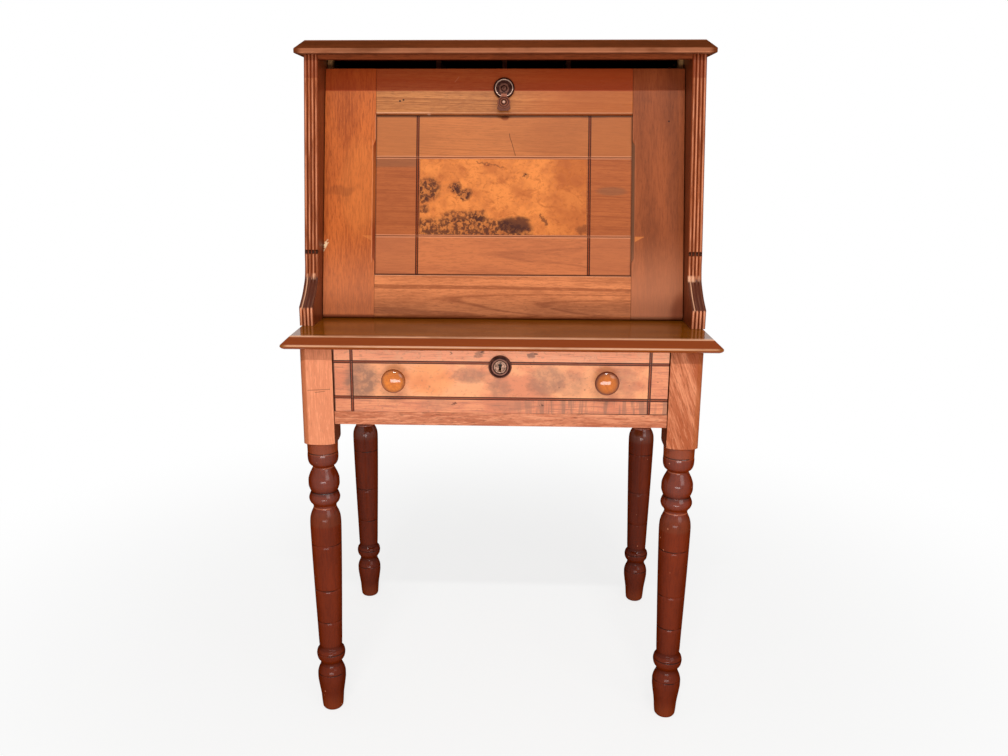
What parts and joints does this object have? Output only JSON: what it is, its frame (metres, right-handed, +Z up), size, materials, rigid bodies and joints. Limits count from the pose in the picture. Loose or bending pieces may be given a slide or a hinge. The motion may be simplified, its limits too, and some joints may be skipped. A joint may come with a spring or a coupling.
{
  "type": "fall-front desk",
  "caption": "Turned-leg writing table with a frieze drawer, carrying a slant-sided case whose panelled fall swings down on to the table ledge to show pigeonholes.",
  "frame": {"origin": "on the floor, under the middle of the table top", "axes": "+X to the sitter's right, +Y from the front to the back, +Z up"},
  "size_m": [0.7454, 0.55, 1.2218],
  "materials": {
    "walnut": "satin varnish",
    "turned_walnut": "dark satin varnish",
    "panel_walnut": "satin varnish",
    "burl": "polished burl veneer",
    "drawer_burl": "worn burl veneer",
    "secondary_wood": "unfinished softwood",
    "knob_wood": "high polish",
    "ebonised_wood": "black polish",
    "brass": "worn polish",
    "bronze": "reddish worn polish",
    "iron": "plain"
  },
  "bodies": {
    "desk": {"leg_front_left": "turned_walnut", "leg_front_right": "turned_walnut", "leg_back_left": "turned_walnut", "leg_back_right": "turned_walnut", "apron_left": "walnut", "apron_right": "walnut", "apron_back": "walnut", "drawer_rail": "walnut", "drawer_runner_left": "secondary_wood", "drawer_runner_right": "secondary_wood", "glue_block_front_left": "secondary_wood", "glue_block_front_right": "secondary_wood", "glue_block_back_left": "secondary_wood", "glue_block_back_right": "secondary_wood", "table_top": "walnut", "case_side_left": "walnut", "case_side_right": "walnut", "cornice": "walnut", "frieze_rail": "walnut", "back_board_lower": "secondary_wood", "back_board_middle": "secondary_wood", "back_board_upper": "secondary_wood", "fall_stop_left": "secondary_wood", "fall_stop_right": "secondary_wood", "pigeonhole_shelf": "secondary_wood", "pigeonhole_divider_left": "secondary_wood", "pigeonhole_divider_middle": "secondary_wood", "pigeonhole_divider_right": "secondary_wood", "fall_pivot_pin_left": "iron", "fall_pivot_pin_right": "iron"},
    "drawer": {"drawer_front": "drawer_burl", "drawer_side_left": "secondary_wood", "drawer_side_right": "secondary_wood", "drawer_back": "secondary_wood", "drawer_bottom": "secondary_wood", "knob_left": "knob_wood", "knob_right": "knob_wood", "drawer_escutcheon": "ebonised_wood", "keyhole_plate": "brass", "drawer_lock": "iron"},
    "lock_bolt": {"drawer_lock_bolt": "brass"},
    "fall": {"fall_stile_left": "walnut", "fall_stile_right": "walnut", "fall_rail_lower": "walnut", "fall_rail_upper": "walnut", "fall_panel": "panel_walnut", "fall_burl_field": "burl", "pull_rosette": "ebonised_wood", "pull_rim": "brass", "pull_bracket": "bronze", "pull_pin": "brass"},
    "drop": {"pull_drop": "bronze"}
  },
  "joints": [
    {"name": "drawer_slide", "type": "slide", "parent": "desk", "child": "drawer", "axis": [0, -1, 0], "range_m": [0, 0.3]},
    {"name": "lock_bolt_throw", "type": "slide", "parent": "drawer", "child": "lock_bolt", "axis": [0, 0, 1], "range_m": [0, 0.008]},
    {"name": "fall_hinge", "type": "hinge", "parent": "desk", "child": "fall", "pos_m": [0, -0.08587, 0.7367], "axis": [1, 0, 0], "range_deg": [0, 104.2]},
    {"name": "drop_swing", "type": "hinge", "parent": "fall", "child": "drop", "pos_m": [0, -0.00408, 1.13007], "axis": [-1, 0, 0], "range_deg": [0, 75]}
  ]
}
